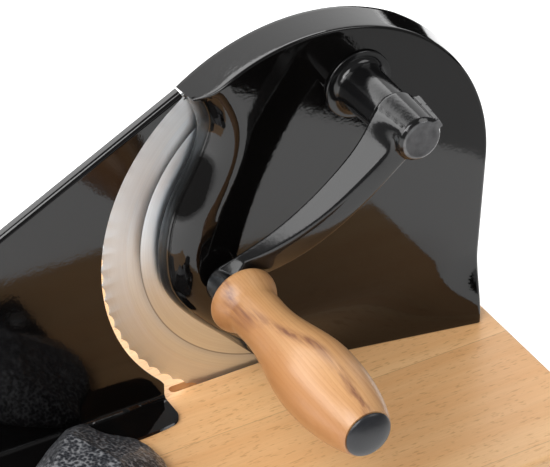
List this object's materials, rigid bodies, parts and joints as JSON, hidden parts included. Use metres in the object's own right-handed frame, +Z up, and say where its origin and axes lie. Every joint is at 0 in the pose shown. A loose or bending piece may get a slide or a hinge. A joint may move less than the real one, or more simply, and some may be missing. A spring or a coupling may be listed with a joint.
{
  "type": "manual bread slicer",
  "caption": "Hand-cranked bread slicer: disc blade and gears in a pressed housing on a wooden board, with a sliding stop plate, lock knob and swept crank.",
  "frame": {"origin": "centre of the bounding box, at the bottom of the feet", "axes": "+X along the board to the housing's side, +Y away from the user who turns the crank, +Z up"},
  "size_m": [0.3353, 0.2586, 0.2047],
  "materials": {
    "beech": "satin lacquered beech with fine flecks along the grain",
    "turned_wood": "waxed turned hardwood with a dark vein",
    "foot_rubber": "matte black rubber",
    "housing_paint": "high gloss black enamel",
    "sheet_paint": "gloss black enamel on sheet steel",
    "hammertone_paint": "grey hammertone paint on a casting",
    "crank_paint": "black enamel on a casting",
    "blade_steel": "ground in rings about the axis",
    "screw_steel": "plain bright steel",
    "gear_steel": "oiled dull steel",
    "frame_steel": "dull rolled steel",
    "insert_brass": "plain brass",
    "cap_plastic": "satin black plastic",
    "knob_plastic": "matte black plastic"
  },
  "bodies": {
    "base": {"base_board": "beech", "foot_1": "foot_rubber", "foot_2": "foot_rubber", "foot_3": "foot_rubber", "foot_4": "foot_rubber", "foot_screw_1": "screw_steel", "foot_screw_2": "screw_steel", "foot_screw_3": "screw_steel", "foot_screw_4": "screw_steel", "housing": "housing_paint", "frame_plate": "frame_steel", "spacer_1": "screw_steel", "spacer_2": "screw_steel", "spacer_3": "screw_steel", "housing_screw_1": "screw_steel", "housing_screw_2": "screw_steel", "housing_screw_3": "screw_steel", "frame_foot_screw_1": "screw_steel", "frame_foot_screw_2": "screw_steel", "blade_axle": "gear_steel", "axle_screw": "gear_steel", "bearing_boss": "crank_paint", "boss_nut": "screw_steel", "inner_bush": "screw_steel", "guide_screw_1": "screw_steel", "guide_screw_2": "screw_steel", "insert_nut": "insert_brass", "knob_stud": "screw_steel"},
    "rotor": {"blade": "blade_steel", "blade_gear": "gear_steel", "blade_hub": "gear_steel", "blade_rivet_1": "screw_steel", "blade_rivet_2": "screw_steel", "blade_rivet_3": "screw_steel", "blade_rivet_4": "screw_steel"},
    "crank": {"crank_arm": "crank_paint", "crank_shaft": "screw_steel", "pinion": "gear_steel", "hub_set_screw": "screw_steel", "handle_spindle": "screw_steel", "handle_washer": "screw_steel"},
    "handle": {"handle_grip": "turned_wood", "handle_cap": "cap_plastic"},
    "stop": {"stop_plate": "sheet_paint", "stop_bracket": "hammertone_paint", "bracket_rivet_1": "screw_steel", "bracket_rivet_2": "screw_steel"},
    "knob": {"lock_knob": "knob_plastic", "lock_washer": "screw_steel"}
  },
  "joints": [
    {"name": "crank_turn", "type": "hinge", "parent": "base", "child": "crank", "pos_m": [0.08724, -0.03, 0.17444], "axis": [0, -1, 0], "continuous": true},
    {"name": "blade_spin", "type": "hinge", "parent": "base", "child": "rotor", "pos_m": [0.0673, 0.0163, 0.1037], "axis": [0, -1, 0], "continuous": true},
    {"name": "handle_spin", "type": "hinge", "parent": "crank", "child": "handle", "pos_m": [0.02013, -0.0737, 0.09707], "axis": [0, -1, 0], "continuous": true},
    {"name": "stop_slide", "type": "slide", "parent": "base", "child": "stop", "axis": [0, -1, 0], "range_m": [-0.0025, 0.0155]},
    {"name": "lock_knob_turn", "type": "hinge", "parent": "base", "child": "knob", "pos_m": [-0.0597, -0.0792, 0.04], "axis": [0, 0, 1], "range_deg": [0, 270]}
  ],
  "couplings": [
    {"joint": "blade_spin", "follows": "crank_turn", "ratio": -0.32432}
  ]
}
